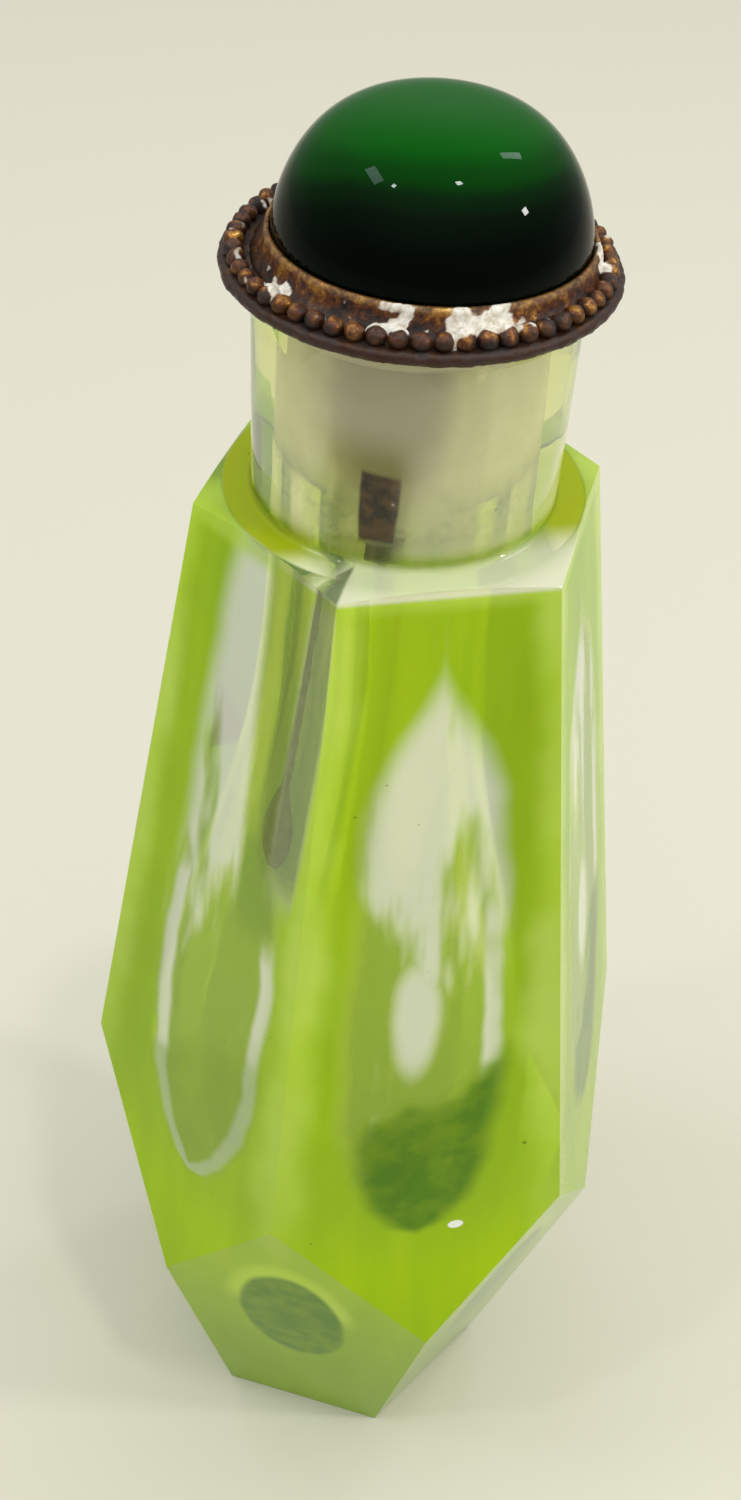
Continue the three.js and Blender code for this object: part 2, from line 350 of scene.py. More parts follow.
def corrode(bm):
    """Pits and lumps on the metal, with the crust standing up from it."""
    crust = bm.verts.layers.float.new("crust")
    bm.normal_update()
    for v in bm.verts:
        v[crust] = crust_at(v.co)
        pits = noise.fractal(v.co * 1500, 0.55, 2.1, 4)
        lift = CORROSION * pits + CRUST_HEIGHT * v[crust] * (0.7 + 0.3 * noise.noise(v.co * 5000))
        against_dome = reach_of(v.co, DOME_CENTRE) < DOME_RADIUS + DOME_CLEARANCE * 1.5
        on_underside = v.co.z < COLLAR_FOOT + 0.02 * MM
        if not against_dome and not on_underside:
            v.co += v.normal * lift


def collar(material):
    """Corroded plate with worn beads round its rim and the bezel that grips the dome."""
    lip = COLLAR_LIP - COLLAR_FOOT
    inside = DOME_RADIUS + DOME_CLEARANCE
    outside = inside + BEZEL_WALL
    edge = PLATE_THICKNESS / 2
    steps = BEAD_COUNT * 6
    under = [(0, 0), (PLATE_RADIUS * 0.7, 0), (PLATE_RADIUS * 0.9, 0)]
    rim = arc((PLATE_RADIUS - edge, edge), edge, -90, 90, 10)
    top = [(PLATE_RADIUS * (1 - 0.02 * k), PLATE_THICKNESS) for k in range(2, 12)]
    plate = spun(under + rim + top + [(0, PLATE_THICKNESS)], steps)
    climb = lip - BEZEL_WALL - PLATE_THICKNESS
    wall = [(outside + BEZEL_FOOT * (1 - k / 8) ** 2, PLATE_THICKNESS + climb * k / 8) for k in range(9)]
    seat = [(outside - BEZEL_WALL * 0.3, lip), (inside, lip), (inside, PLATE_THICKNESS), (0, PLATE_THICKNESS)]
    bezel = spun([(0, edge), (outside + BEZEL_FOOT, edge)] + wall + seat, steps)
    bmesh.ops.translate(bezel, verts=bezel.verts, vec=(DOME_CENTRE.x, DOME_CENTRE.y, 0))
    whole = bmesh.new()
    for part in (plate, bezel):
        temp = bpy.data.meshes.new("part")
        part.to_mesh(temp)
        part.free()
        whole.from_mesh(temp)
        bpy.data.meshes.remove(temp)
    for k in range(BEAD_COUNT):
        angle = (k + 0.5) / BEAD_COUNT * 2 * math.pi
        worn = 0.9 + 0.12 * noise.noise(polar(angle, 1, 0.3) * 3)
        place = Matrix.Translation(polar(angle, BEAD_RING, PLATE_THICKNESS + BEAD_RADIUS * 0.45))
        bmesh.ops.create_icosphere(whole, subdivisions=3, radius=BEAD_RADIUS * worn,
                                   matrix=place @ Matrix.Rotation(angle, 4, "Z"))
    bmesh.ops.translate(whole, verts=whole.verts, vec=(0, 0, COLLAR_FOOT))
    corrode(whole)
    piece(whole, "beaded_collar", "stopper_collar", material)


def dome(material, rings=48):
    """Rounded cabochon: near-upright sides that turn over into a low crown."""
    low, lip = DOME_LOW.z, COLLAR_LIP
    rise = DOME_HIGH.z - lip
    profile = [(0, low), (DOME_RADIUS - BEZEL_WALL, low), (DOME_RADIUS, (low + lip) / 2)]
    for k in range(rings + 1):
        share = math.sin(k / rings * math.pi / 2)
        radius = DOME_RADIUS * max(0, 1 - share ** DOME_CROWN) ** (1 / DOME_SHOULDER)
        profile.append((0 if k == rings else radius, lip + rise * share))
    bm = spun(profile)
    bmesh.ops.translate(bm, verts=bm.verts, vec=(DOME_CENTRE.x, DOME_CENTRE.y, 0))
    piece(bm, "glass_dome", "stopper_dome", material)


def cork(material):
    """Tapered plug with small pits."""
    low, high = CORK_LOW.z, CORK_HIGH.z
    middle = (low + high) / 2
    heights = [low + (high - low) * k / 40 for k in range(41)]
    side = [(CORK_RADIUS - CORK_TAPER * max(0, middle - z) / (middle - low) - CORK_PITS, z) for z in heights]
    bm = spun([(0, low)] + [(CORK_RADIUS * k / 8, low) for k in range(1, 7)] + side + [(0, high)], 96)
    roughen(bm, CORK_PITS, 1800, 8)
    piece(bm, "cork_plug", "stopper_cork", material)


def downwards(start, end):
    """Turn that lays the upright axis along the way from start down to end."""
    return (end - start).normalized().to_track_quat("-Z", "Y").to_matrix().to_4x4()


def peg(material):
    """Short rough stick in the end of the cork."""
    bm = bmesh.new()
    rod(bm, PEG_TOP, PEG_FOOT, downwards(PEG_TOP, PEG_FOOT), PEG_RADIUS, PEG_RADIUS * 0.9, 40, 40)
    roughen(bm, PEG_BARK, 1300, 3)
    piece(bm, "dark_peg", "spoon_peg", material)


def spoon(material):
    """Thin uneven stem and a small leaf-shaped bowl, scooped on one side."""
    down = (SPOON_TIP - PEG_FOOT).normalized()
    bowl_top = SPOON_TIP - down * BOWL_LENGTH
    turn = downwards(PEG_FOOT, SPOON_TIP)
    bm = bmesh.new()
    rod(bm, PEG_FOOT, bowl_top + down * 1.2 * MM, turn, STEM_RADIUS * 0.9, STEM_RADIUS * 1.1, 16, 60)
    bowl = bmesh.ops.create_uvsphere(bm, u_segments=36, v_segments=28, radius=1)["verts"]
    for v in bowl:
        height = v.co.z
        v.co.x *= 1 - 0.42 * max(0, height) ** 1.3
        if v.co.y < 0:
            v.co.y *= BOWL_WALL / BOWL_DEPTH - 0.9 * (1 - height * height)
    shape = Matrix.Diagonal((BOWL_WIDTH / 2, BOWL_DEPTH, BOWL_LENGTH / 2, 1))
    bmesh.ops.transform(bm, matrix=Matrix.Translation((bowl_top + SPOON_TIP) / 2) @ turn @ shape, verts=bowl)
    bmesh.ops.recalc_face_normals(bm, faces=bm.faces)
    roughen(bm, SPOON_WEAR, 1500, 5)
    piece(bm, "little_spoon", "spoon", material)


class Finish:
    """A material being put together, with short ways to add and join its nodes."""

    def __init__(self, name):
        self.material = bpy.data.materials.new(name)
        self.material.use_nodes = True
        self.nodes = self.material.node_tree.nodes
        self.links = self.material.node_tree.links
        self.surface = self.nodes["Principled BSDF"]

    def join(self, value, socket):
        """Links a node's output to the socket, or sets the socket to a number or a colour."""
        if isinstance(value, bpy.types.NodeSocket):
            self.links.new(value, socket)
        elif isinstance(value, tuple):
            socket.default_value = (*value, 1)
        else:
            socket.default_value = value

    def set(self, **values):
        """Gives the surface its values, each by its socket's name."""
        for name, value in values.items():
            self.join(value, self.surface.inputs[name.replace("_", " ")])

    def place(self):
        """The point on the object, whole and as x, y and z."""
        where = self.nodes.new("ShaderNodeTexCoord").outputs["Object"]
        split = self.nodes.new("ShaderNodeSeparateXYZ")
        self.links.new(where, split.inputs[0])
        return where, split.outputs[0], split.outputs[1], split.outputs[2]

    def attribute(self, name):
        """A value that is kept on the mesh's points."""
        node = self.nodes.new("ShaderNodeAttribute")
        node.attribute_name = name
        return node.outputs["Fac"]

    def math(self, operation, *values):
        """One Math node."""
        node = self.nodes.new("ShaderNodeMath")
        node.operation = operation
        for value, socket in zip(values, node.inputs):
            self.join(value, socket)
        return node.outputs[0]

    def chain(self, operation, first, *others):
        """The operation on the first value and then on each of the others."""
        for other in others:
            first = self.math(operation, first, other)
        return first

    def plus(self, *values):
        return self.chain("ADD", *values)

    def times(self, *values):
        return self.chain("MULTIPLY", *values)

    def most(self, *values):
        return self.chain("MAXIMUM", *values)

    def minus(self, first, second):
        return self.math("SUBTRACT", first, second)

    def over(self, first, second):
        return self.math("DIVIDE", first, second)

    def size(self, value):
        return self.math("ABSOLUTE", value)

    def off(self, value):
        """What the value leaves of 1."""
        return self.minus(1.0, value)

    def oval(self, across, width, up, rise):
        """Square of the distance from an oval's middle, which is 1 on its edge."""
        flat = self.math("POWER", self.over(across, width), 2.0)
        tall = self.math("POWER", self.over(up, rise), 2.0)
        return self.plus(flat, tall)

    def aside(self, x, y, azimuth):
        """Distance to one side of the upright plane that leaves the axis at an azimuth."""
        return self.plus(self.times(x, math.sin(azimuth)), self.times(y, -math.cos(azimuth)))

    def fade(self, value, start, end, low=0.0, high=1.0):
        """Goes smoothly from low to high as the value goes from start to end."""
        node = self.nodes.new("ShaderNodeMapRange")
        node.interpolation_type = "SMOOTHSTEP"
        self.join(value, node.inputs["Value"])
        for name, number in (("From Min", start), ("From Max", end), ("To Min", low), ("To Max", high)):
            node.inputs[name].default_value = number
        return node.outputs["Result"]

    def band(self, distance, none, full):
        """Is 1 up to one distance to either side, and 0 past another."""
        return self.fade(self.size(distance), none, full)

    def mix(self, factor, first, second):
        """From the first colour to the second."""
        node = self.nodes.new("ShaderNodeMix")
        node.data_type = "RGBA"
        self.join(factor, node.inputs[0])
        self.join(first, node.inputs[6])
        self.join(second, node.inputs[7])
        return node.outputs[2]

    def ramp(self, value, stops, soft=True):
        """A colour or a grey for each position."""
        node = self.nodes.new("ShaderNodeValToRGB")
        node.color_ramp.interpolation = "EASE" if soft else "LINEAR"
        elements = node.color_ramp.elements
        while len(elements) < len(stops):
            elements.new(0.5)
        for element, (position, colour) in zip(elements, stops):
            element.position = position
            element.color = (*colour, 1) if isinstance(colour, tuple) else (colour, colour, colour, 1)
        self.join(value, node.inputs[0])
        return node.outputs["Color"]

    def grain(self, where, scale, detail, roughness=0.55, stretch=(1, 1, 1), shift=0.0):
        """A noise value between 0 and 1, its scale in cells per metre."""
        mapping = self.nodes.new("ShaderNodeMapping")
        self.links.new(where, mapping.inputs["Vector"])
        mapping.inputs["Scale"].default_value = stretch
        mapping.inputs["Location"].default_value = (shift, shift, shift)
        node = self.nodes.new("ShaderNodeTexNoise")
        self.links.new(mapping.outputs[0], node.inputs["Vector"])
        node.inputs["Scale"].default_value = scale
        node.inputs["Detail"].default_value = detail
        node.inputs["Roughness"].default_value = roughness
        return node.outputs["Fac"]

    def bump(self, height, distance, strength=1.0):
        """Fine relief of the surface."""
        node = self.nodes.new("ShaderNodeBump")
        node.inputs["Distance"].default_value = distance
        node.inputs["Strength"].default_value = strength
        self.links.new(height, node.inputs["Height"])
        self.links.new(node.outputs["Normal"], self.surface.inputs["Normal"])

    def depth_tint(self, colour, density):
        """Colour that the glass takes from its thickness."""
        node = self.nodes.new("ShaderNodeVolumeAbsorption")
        node.inputs["Color"].default_value = (*colour, 1)
        node.inputs["Density"].default_value = density
        self.links.new(node.outputs["Volume"], self.nodes["Material Output"].inputs["Volume"])


def facet_place(f, x, y, first_middle):
    """Where a point is on the nearest of six facets, the first with its middle line at an azimuth.

    Gives the distance across from the middle line, its angle as a share of half a facet's, and the
    distance from the axis.
    """
    half = math.pi / SIDES
    azimuth = f.plus(f.math("ARCTAN2", y, x), half - first_middle)
    turn = f.minus(f.math("WRAP", azimuth, 2 * half, 0.0), half)
    reach = f.math("SQRT", f.plus(f.times(x, x), f.times(y, y)))
    across = f.times(reach, f.math("SINE", turn))
    share = f.size(f.over(turn, half))
    return across, share, reach


def windows(f, at, across, waver):
    """The windows of the wide facets: their shape, residue, clear strips, green streaks and the painted light
    between them.
    """
    where, x, y, z = at
    widest = max(width for height, width in WINDOW_SHAPE)
    shape = [(height * MM / LEDGE, width / widest) for height, width in WINDOW_SHAPE]
    half_width = f.times(f.ramp(f.over(z, LEDGE), shape, soft=False), widest * MM)
    left = f.fade(f.minus(y, f.times(x, math.sqrt(3))), -0.3 * MM, 0.3 * MM)
    closing = f.fade(z, WINDOW_TOP, WINDOW_TOP - WINDOW_POINT)
    half_width = f.times(half_width, f.most(left, closing))
    off_middle = f.size(f.minus(across, f.times(left, LEFT_SHIFT)))
    inside_edge = f.minus(half_width, f.plus(off_middle, waver))
    window = f.fade(inside_edge, 0.0, WINDOW_FADE)

    # Green residue with a ragged, slanting top, thinner on the left
    ragged = f.plus(z, f.plus(f.times(waver, 9.0), f.times(across, -0.9)))
    residue = f.times(window, f.fade(ragged, RESIDUE_LEVEL + 2 * MM, RESIDUE_LEVEL - MM))
    residue = f.times(residue, f.off(f.times(left, 0.6)))
    window = f.minus(window, f.times(residue, 0.8))

    # Clear strips in front of the spoon, one in the film inside and one in the milk outside
    facing = f.fade(y, 0.0, -MM)
    rubbed = f.times(f.band(f.aside(x, y, SPOON_SIDE), 1.9 * MM, 1.0 * MM), facing)
    rubbed = f.times(rubbed, f.fade(z, SPOON_TIP.z - 0.5 * MM, SPOON_TIP.z + 2.5 * MM))
    strip = f.times(f.band(f.minus(across, SPOON_ACROSS), 1.2 * MM, 0.7 * MM), left)
    strip = f.times(strip, f.fade(z, SPOON_TIP.z + 2.5 * MM, SPOON_TIP.z + 5.5 * MM), facing)
    window = f.most(window, f.times(strip, 0.95))
    rubbed = f.most(rubbed, strip)

    # Painted light between the green streaks, in an oval on the right and in a line along the edge
    streaks = f.grain(where, 330, 3, stretch=(1, 1, 0.13), shift=0.2)
    green = f.fade(f.plus(streaks, f.fade(z, 63 * MM, 48 * MM, -0.04, 0.16)), 0.42, 0.58)
    painted_light_level = f.oval(f.plus(across, 0.5 * MM), LIGHT_OVAL_WIDTH, f.minus(z, LIGHT_OVAL_HEIGHT), LIGHT_OVAL_RISE)
    painted_light_level = f.fade(f.plus(painted_light_level, f.times(waver, 1100.0)), 1.7, 0.3)
    painted_light = f.most(f.off(green), f.times(painted_light_level, f.off(left)))
    right_edge = f.times(f.fade(across, 0.0, MM), f.fade(z, 43 * MM, 47 * MM))
    edge_light_line = f.band(f.minus(inside_edge, 1.4 * MM), 0.75 * MM, 0.25 * MM)
    edge_light_line = f.times(edge_light_line, f.most(left, right_edge))
    edge_light_line = f.times(edge_light_line, f.fade(f.plus(z, f.times(waver, 20.0)), 60 * MM, 53 * MM))
    painted_light = f.times(f.most(painted_light, edge_light_line), f.off(rubbed))
    # Painted highlight: the painted light, and some over the clear strip outside
    bright = f.most(painted_light, f.times(strip, 0.6))
    return SimpleNamespace(clear=window, residue=residue, rubbed=rubbed, green=green, painted_light=painted_light, bright=bright)


def lower_ovals(f, at, waver):
    """The dark oval in each lower cut, and the painted highlight over its upper edge."""
    _, x, y, z = at
    across = f.minus(facet_place(f, x, y, 0.0)[0], OVAL_SHIFT)
    edge = f.plus(f.oval(across, OVAL_REACH, f.minus(z, OVAL_HEIGHT), OVAL_RISE), f.times(waver, 200.0))
    oval_highlight = f.times(f.fade(edge, 1.9, 1.2, 0.0, 0.6), f.fade(z, OVAL_HEIGHT, OVAL_HEIGHT + 4 * MM))
    return f.fade(edge, 1.15, 0.85), oval_highlight


def body_colour(f, at, share, panes, oval, oval_highlight):
    """Colour below the ledge, and the painted light green of its ridges.

    It is deep between window and ridge, darker at the foot and painted lighter along the ridges.
    """
    where, _, _, z = at
    drift = f.grain(where, 90, 3, shift=0.3)
    streaks = f.grain(where, 420, 3, stretch=(1, 1, 0.06), shift=0.7)
    uneven = f.times(f.minus(drift, 0.5), 0.5)
    # Painted light along the ridges
    ridge_light = f.times(f.fade(f.plus(share, uneven), 0.72, 0.98), f.fade(z, 22 * MM, 50 * MM))
    deep = f.mix(f.fade(streaks, 0.3, 0.75), *DEEP_GREENS)
    painted_light_green = f.mix(f.fade(drift, 0.35, 0.65), *PAINTED_LIGHT_GREENS)
    dark = f.mix(f.fade(f.grain(where, 500, 5), 0.35, 0.7), *DARK_GREENS)
    colour = f.mix(f.times(ridge_light, 0.85), deep, painted_light_green)
    colour = f.mix(f.fade(z, 36 * MM, 6 * MM, 0.0, 0.65), colour, FOOT_GREEN)
    colour = f.mix(panes.clear, colour, f.mix(panes.bright, *WINDOW_AND_HIGHLIGHT_TONES))
    # Painted highlight over the upper edge of each dark oval
    colour = f.mix(oval_highlight, colour, painted_light_green)
    colour = f.mix(f.most(panes.residue, oval), colour, dark)
    return colour, painted_light_green


def top_parts(f, at, reach):
    """Where the body ends, and the shoulder, the crescents on the ledge, the painted highlight along its
    front and the lip.
    """
    _, x, y, z = at
    body = f.fade(z, LEDGE + 0.6 * MM, LEDGE - 0.2 * MM)
    on_ledge_level = f.fade(z, LEDGE - 1.2 * MM, LEDGE - 0.4 * MM)
    outside = f.fade(reach, LEDGE_RADIUS - 0.1 * MM, LEDGE_RADIUS + 0.1 * MM)
    crescent = f.times(on_ledge_level, f.off(outside), f.fade(f.size(x), 3.5 * MM, 5.5 * MM))
    front_highlight = f.times(f.fade(z, LEDGE - 0.5 * MM, LEDGE - 0.25 * MM), f.fade(y, -4 * MM, -6 * MM))
    lip = f.fade(z, MOUTH - LIP_DROP * 1.3, MOUTH - LIP_DROP * 0.9)
    return SimpleNamespace(body=body, shoulder=f.times(on_ledge_level, outside), crescent=crescent,
                           front_highlight=f.times(front_highlight, body), lip=lip)


def bore_wall(f, at, inner, waver):
    """What covers the bore's wall: satin, worn below the cork, and the dark top end of the peg."""
    where, x, y, z = at
    cork_foot = CORK_LOW.z
    facing = f.fade(y, 0.0, -MM)
    beside_peg = f.aside(x, y, PEG_SIDE)
    by_peg = f.times(facing, f.band(beside_peg, 1.4 * MM, 0.9 * MM))
    by_peg = f.times(by_peg, f.fade(z, cork_foot - 1.4 * MM, cork_foot - 2 * MM))
    satin = f.times(inner, f.fade(z, LEDGE - 3 * MM, LEDGE + 1.5 * MM, 0.0, 0.9), f.off(by_peg))
    worn = f.fade(f.grain(where, 420, 3, shift=0.6), 0.42, 0.58, 0.25, 0.8)
    below_cork = f.fade(z, cork_foot + 1.2 * MM, cork_foot - 0.8 * MM)
    satin = f.times(satin, f.off(f.times(below_cork, worn)))
    smudge = f.oval(f.plus(x, 1.4 * MM), 1.9 * MM, f.minus(z, MOUTH - 3.5 * MM), 5 * MM)
    smudge = f.times(f.fade(smudge, 1.5, 0.2), facing)
    tone = f.mix(f.fade(f.grain(where, 700, 5), 0.3, 0.7), *SATIN_TONES)
    tone = f.mix(f.times(smudge, 0.85), tone, SMUDGE_OLIVE)

    peg_sides = f.band(f.plus(beside_peg, f.times(waver, 0.5)), 0.68 * MM, 0.56 * MM)
    peg_top = f.fade(f.plus(z, waver), cork_foot + 1.5 * MM, cork_foot + 1.2 * MM)
    peg_end = f.times(peg_sides, peg_top, f.fade(z, cork_foot - 2.2 * MM, cork_foot - 1.7 * MM))
    peg_end = f.times(peg_end, facing, inner)
    bark = f.mix(f.fade(f.grain(where, 1800, 5), 0.35, 0.65), *BARK_TONES)
    return SimpleNamespace(satin=satin, tone=tone, peg_end=peg_end, bark=bark)


def neck_dust(f, x, y, z):
    """Dust on the outside of the neck, none of it in front of the peg."""
    before_peg = f.times(f.band(f.aside(x, y, PEG_SIDE), 2.4 * MM, 0.9 * MM), f.fade(y, 0.0, -MM))
    before_peg = f.times(before_peg, f.fade(z, CORK_LOW.z + 5 * MM, CORK_LOW.z + 2.6 * MM))
    return f.times(f.fade(z, LEDGE - 0.1 * MM, LEDGE + 0.8 * MM, 0.0, NECK_DUST), f.off(before_peg))


def pale_green_glass():
    """Cut glass: clear neck, a window down each facet, milky green elsewhere, satin inside."""
    f = Finish("pale_green_glass")
    at = where, x, y, z = f.place()
    inner = f.attribute("inner")
    waver = f.times(f.minus(f.grain(where, 160, 2), 0.5), 1.2 * MM)
    across, share, reach = facet_place(f, x, y, math.pi / SIDES)
    panes = windows(f, at, across, waver)
    oval, oval_highlight = lower_ovals(f, at, waver)
    top = top_parts(f, at, reach)
    bore = bore_wall(f, at, inner, waver)
    specks = f.fade(f.grain(where, 1500, 2, shift=0.9), 0.76, 0.80)
    chip = f.oval(f.minus(x, CHIP_ACROSS), CHIP_WIDTH, f.minus(z, CHIP_HEIGHT), CHIP_RISE)
    chip = f.times(f.fade(f.plus(chip, f.times(waver, 900.0)), 1.3, 0.8), f.fade(y, -9 * MM, -10 * MM))

    # Colour of the outside, from the body up to the lip, with painted light on the shoulder, a painted
    # highlight along the ledge's front, its specks and its chip
    colour, painted_light_green = body_colour(f, at, share, panes, oval, oval_highlight)
    colour = f.mix(f.times(top.shoulder, 0.7), colour, painted_light_green)
    colour = f.mix(top.crescent, colour, CRESCENT_OLIVE)
    colour = f.mix(f.fade(z, LEDGE + 0.2 * MM, LEDGE + MM), colour, NECK_CREAM)
    colour = f.mix(top.lip, colour, f.mix(f.fade(x, 1.5 * MM, 3 * MM), *LIP_TONES))
    colour = f.mix(f.times(specks, 0.7), colour, SPECK_BROWN)
    # Painted highlight along the front of the ledge
    colour = f.mix(top.front_highlight, colour, LEDGE_HIGHLIGHT_CREAM)
    colour = f.mix(chip, colour, CHIP_WHITE)

    # Milk of the outside, less of it in the windows
    milk = f.plus(MILK, f.fade(z, 37 * MM, 29 * MM, 0.0, 0.25))
    cleared = f.minus(f.plus(0.42, f.times(panes.rubbed, 0.16)), f.times(panes.painted_light, 0.30))
    milk = f.minus(milk, f.times(f.math("POWER", panes.clear, 1.6), cleared))
    milk = f.most(milk, f.times(f.most(top.crescent, oval), OVAL_MILK))
    milk = f.most(f.times(top.body, milk), f.times(top.lip, LIP_MILK), neck_dust(f, x, y, z))
    milk = f.times(f.most(milk, specks, chip), f.off(inner))
    from_within = f.nodes.new("ShaderNodeNewGeometry").outputs["Backfacing"]
    milk = f.times(milk, f.off(f.times(from_within, 1 - MILK_FROM_WITHIN)))

    # Film on the wall of the hollow, pale satin with painted light between its green streaks, and what covers
    # the bore's wall
    film = f.times(inner, f.fade(z, FILM_TOP, FILM_TOP - 2 * MM))
    film = f.times(film, f.minus(FILM, f.times(panes.rubbed, FILM - FILM_RUBBED)))
    colour = f.mix(inner, colour, INNER_CLEAR)
    colour = f.mix(film, colour, f.mix(panes.green, *FILM_LIGHT_AND_STREAK_TONES))
    colour = f.mix(bore.satin, colour, bore.tone)
    colour = f.mix(bore.peg_end, colour, bore.bark)
    milk = f.most(milk, film, f.most(bore.satin, bore.peg_end))

    f.set(Base_Color=colour, IOR=1.5, Specular_IOR_Level=0.04)
    f.set(Transmission_Weight=f.off(milk))
    f.set(Roughness=f.times(inner, f.fade(z, 60 * MM, 30 * MM, 0.015, 0.08)))
    ripple = f.times(f.grain(where, 260, 2, shift=0.5), 0.35)
    lengthways = f.times(f.grain(where, 500, 1, stretch=(1, 1, 0.04)), inner)
    f.bump(f.plus(ripple, lengthways), 0.10 * MM, 0.5)
    f.depth_tint(DEPTH_TINT, DEPTH_DENSITY)
    return f.material


def emerald_glass():
    """Deep green cabochon, with painted shade near black low down and painted light towards its crown, its
    back and its sides.
    """
    f = Finish("emerald_glass")
    where, x, y, z = f.place()
    # Painted light and shade: lighter with height, towards the back and towards the sides
    rise = f.times(f.minus(z, DOME_LOW.z), 1.0 / (DOME_HIGH.z - DOME_LOW.z))
    back_light = f.times(f.minus(y, DOME_LOW.y), 0.25 / (2 * DOME_RADIUS))
    cloud = f.times(f.minus(f.grain(where, 260, 3), 0.5), 0.12)
    rim = f.fade(f.size(f.minus(x, DOME_CENTRE.x)), 0.6 * DOME_RADIUS, DOME_RADIUS, 0.0, 0.13)
    painted_light_level = f.over(f.plus(f.plus(rise, back_light), f.plus(cloud, rim)), 1.25)
    colour = f.ramp(painted_light_level, ((0.36, (0.0, 0.0015, 0.0003)), (0.52, (0.0, 0.004, 0.0004)),
                           (0.60, (0.0, 0.012, 0.0006)), (0.69, (0.0, 0.040, 0.001)),
                           (0.80, (0.0, 0.080, 0.002)), (1.0, (0.0, 0.090, 0.003))))
    f.set(Base_Color=colour, Roughness=0.03, IOR=1.5, Specular_IOR_Level=0.05)
    f.bump(f.grain(where, 900, 2, stretch=(0.1, 1, 1)), 0.01 * MM, 0.15)
    return f.material


def corroded_copper():
    """Dark red-brown copper alloy with rust, golden glints and white crust in its hollows, with painted shade
    low down and painted light towards the lip.
    """
    f = Finish("corroded_copper")
    where, _, _, z = f.place()
    coarse = f.grain(where, 900, 6, 0.65)
    fine = f.grain(where, 3200, 5, 0.7, shift=0.4)
    blend = f.plus(f.times(coarse, 0.6), f.times(fine, 0.4))
    # Painted light: more golden towards the lip
    lit_above_blend = f.plus(blend, f.fade(z, COLLAR_FOOT + 0.8 * MM, COLLAR_LIP, 0.0, 0.05))
    metal = f.ramp(lit_above_blend, ((0.38, (0.004, 0.002, 0.001)), (0.46, (0.03, 0.008, 0.003)),
                            (0.53, (0.12, 0.035, 0.007)), (0.60, (0.36, 0.16, 0.03)),
                            (0.67, (0.75, 0.47, 0.12))))
    # Painted shade: darker towards the foot
    shade = f.fade(z, COLLAR_FOOT + 1.1 * MM, COLLAR_FOOT + 0.5 * MM, 0.0, 0.75)
    metal = f.mix(shade, metal, (0.010, 0.005, 0.003))
    plate_edge = f.fade(z, COLLAR_FOOT + PLATE_THICKNESS * 1.05, COLLAR_FOOT + PLATE_THICKNESS * 0.8)
    dull = f.mix(fine, (0.012, 0.007, 0.004), (0.06, 0.016, 0.008))
    metal = f.mix(f.times(plate_edge, 0.85), metal, dull)
    lip = f.fade(z, COLLAR_LIP - 0.28 * MM, COLLAR_LIP - 0.1 * MM)
    metal = f.mix(f.times(lip, f.fade(fine, 0.4, 0.6, 0.15, 0.6)), metal, (0.26, 0.15, 0.04))
    crust = f.fade(f.attribute("crust"), 0.12, 0.4)
    chalk = f.mix(f.fade(fine, 0.35, 0.65), (0.60, 0.52, 0.40), (0.88, 0.86, 0.80))
    f.set(Base_Color=f.mix(crust, metal, chalk))
    f.set(Roughness=f.most(f.fade(blend, 0.35, 0.65, 0.62, 0.3), f.times(crust, 0.9)))
    f.set(Metallic=f.times(f.off(crust), f.fade(blend, 0.45, 0.65, 0.15, 0.8)))
    f.bump(blend, 0.12 * MM, 0.8)
    return f.material


def stained_cork():
    """Tan cork with darker pores and an olive stain near its top."""
    f = Finish("stained_cork")
    where, _, _, z = f.place()
    tone = f.mix(f.fade(f.grain(where, 700, 6, 0.6), 0.3, 0.7), (0.36, 0.28, 0.13), (0.66, 0.58, 0.36))
    pores = f.grain(where, 2600, 3, 0.5, shift=0.2)
    tone = f.mix(f.fade(pores, 0.60, 0.68, 0.0, 0.7), tone, (0.10, 0.06, 0.02))
    stain = f.times(f.fade(z, MOUTH - 4 * MM, MOUTH - MM), f.fade(f.grain(where, 300, 3), 0.45, 0.6))
    f.set(Base_Color=f.mix(stain, tone, (0.15, 0.13, 0.03)), Roughness=0.9)
    f.bump(pores, 0.1 * MM, 0.7)
    return f.material


def dark_wood():
    """Rough brown-black stick with rusty specks."""
    f = Finish("dark_wood")
    fibre = f.grain(f.place()[0], 1400, 5, 0.7, stretch=(1, 1, 0.35))
    tone = f.ramp(fibre, ((0.36, (0.006, 0.004, 0.002)), (0.50, (0.035, 0.018, 0.006)),
                          (0.64, (0.17, 0.075, 0.02))))
    f.set(Base_Color=tone, Roughness=0.85)
    f.bump(fibre, 0.15 * MM, 0.8)
    return f.material


def tarnished_metal():
    """Thin brown metal gone olive with tarnish."""
    f = Finish("tarnished_metal")
    patch = f.grain(f.place()[0], 900, 5, 0.65)
    tone = f.ramp(patch, ((0.35, (0.015, 0.012, 0.002)), (0.50, (0.05, 0.035, 0.006)),
                          (0.66, (0.16, 0.09, 0.02))))
    f.set(Base_Color=tone, Roughness=f.fade(patch, 0.35, 0.65, 0.7, 0.45), Metallic=0.35)
    f.bump(patch, 0.08 * MM, 0.6)
    return f.material


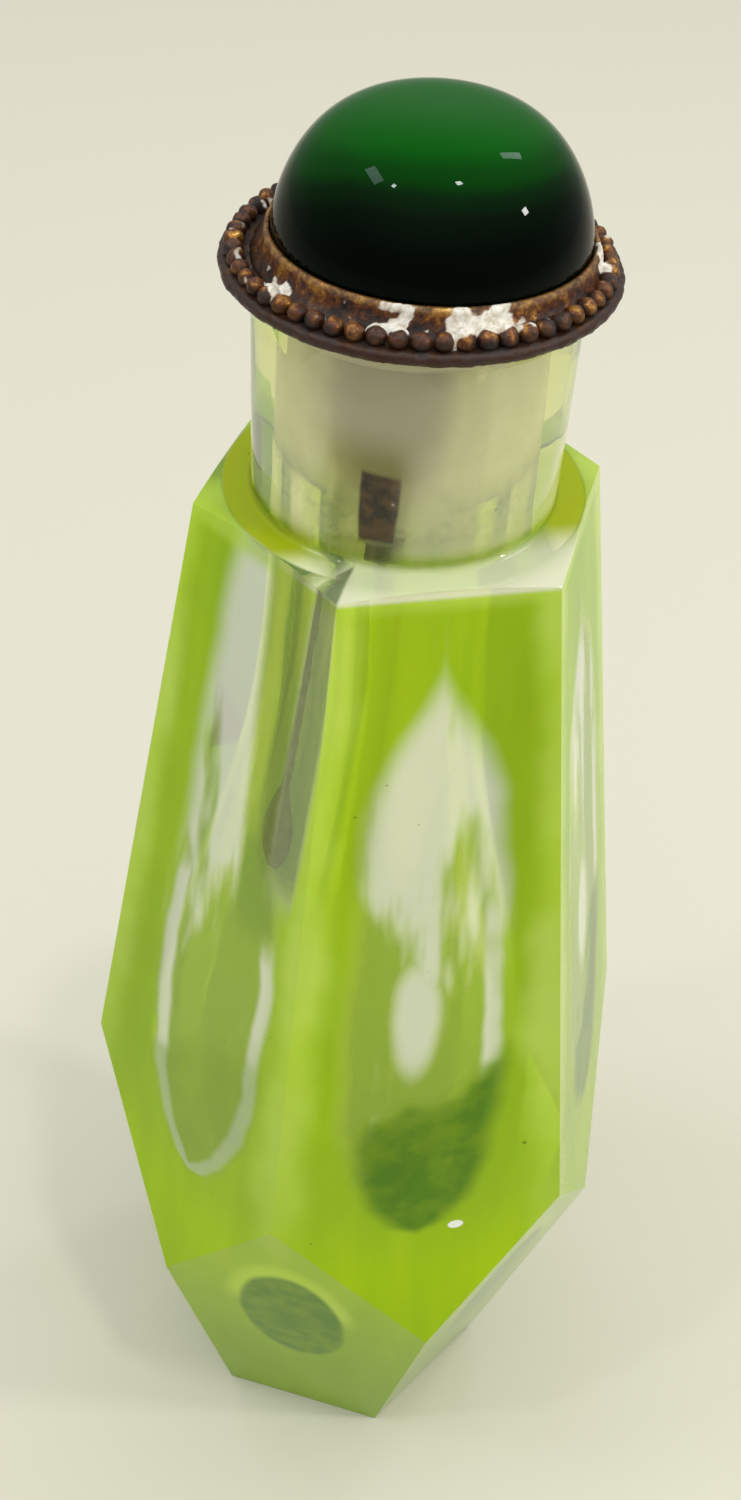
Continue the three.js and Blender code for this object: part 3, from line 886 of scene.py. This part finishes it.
def camera():
    """Close to the bottle and looking steeply down on it."""
    unit = 0.82 * MM
    away, above = 66.566 * unit, 44.1 * unit
    pitch, yaw, roll = (math.radians(a) for a in (43.822, -0.636, 4.079))
    forward = Vector((math.sin(yaw) * math.cos(pitch), math.cos(yaw) * math.cos(pitch), -math.sin(pitch)))
    right = Vector((math.cos(yaw), -math.sin(yaw), 0))
    up = right.cross(forward)
    right, up = (right * math.cos(roll) + up * math.sin(roll), up * math.cos(roll) - right * math.sin(roll))
    round_bottle = Matrix.Rotation(math.radians(-15.95), 3, "Z")
    axes = Matrix((round_bottle @ right, round_bottle @ up, round_bottle @ -forward)).transposed()
    data = bpy.data.cameras.new("camera")
    data.sensor_width = 36
    data.lens = 36
    data.clip_start = MM
    obj = bpy.data.objects.new("camera", data)
    spot = round_bottle @ Vector((0, -away, 0)) + Vector((0, 0, LEDGE + above))
    obj.matrix_world = Matrix.Translation(spot) @ axes.to_4x4()
    bpy.context.scene.collection.objects.link(obj)
    bpy.context.scene.camera = obj


def table():
    """A large plain sheet under the bottle that isn't part of it."""
    bm = bmesh.new()
    bmesh.ops.create_grid(bm, x_segments=1, y_segments=1, size=0.9,
                          matrix=Matrix.Translation((0, 0, -0.05 * MM)))
    mesh = bpy.data.meshes.new("pale_table")
    bm.to_mesh(mesh)
    bm.free()
    f = Finish("pale_table")
    f.set(Base_Color=(0.65, 0.625, 0.52), Roughness=0.7)
    mesh.materials.append(f.material)
    obj = bpy.data.objects.new("pale_table", mesh)
    bpy.context.scene.collection.objects.link(obj)


def lamp(name, towards, width, height, brightness, colour):
    """A light that faces the stopper from a direction, its brightness as seen in a mirror."""
    data = bpy.data.lights.new(name, "AREA")
    data.shape = "RECTANGLE"
    data.size = width
    data.size_y = height
    data.energy = brightness * math.pi * width * height
    data.color = colour
    obj = bpy.data.objects.new(name, data)
    away = Vector(towards).normalized()
    spot = Vector((0, 0, DOME_HIGH.z)) + away * LAMP_DISTANCE
    obj.matrix_world = Matrix.Translation(spot) @ away.to_track_quat("Z", "Y").to_matrix().to_4x4()
    bpy.context.scene.collection.objects.link(obj)


def soft_room():
    """Pale light from all round, brighter from above."""
    world = bpy.data.worlds.new("soft_room")
    world.use_nodes = True
    nodes, links = world.node_tree.nodes, world.node_tree.links
    split = nodes.new("ShaderNodeSeparateXYZ")
    links.new(nodes.new("ShaderNodeTexCoord").outputs["Generated"], split.inputs[0])
    sky = nodes.new("ShaderNodeMapRange")
    sky.interpolation_type = "SMOOTHSTEP"
    links.new(split.outputs[2], sky.inputs["Value"])
    for name, number in (("From Min", 0.15), ("From Max", 0.85), ("To Min", 0.46), ("To Max", 1.04)):
        sky.inputs[name].default_value = number
    links.new(sky.outputs[0], nodes["Background"].inputs["Strength"])
    nodes["Background"].inputs["Color"].default_value = (1.0, 0.985, 0.95, 1)
    bpy.context.scene.world = world


def studio():
    """Pale table, soft light and small lamps that glint on the dome, with light passes enough for glass."""
    table()
    soft_room()
    for each in LAMPS:
        lamp(*each)
    scene = bpy.context.scene
    scene.view_settings.view_transform = "Standard"
    scene.cycles.max_bounces = 18
    scene.cycles.transmission_bounces = 18
    scene.cycles.glossy_bounces = 12


camera()
studio()
glass_bottle(pale_green_glass())
collar(corroded_copper())
dome(emerald_glass())
cork(stained_cork())
peg(dark_wood())
spoon(tarnished_metal())
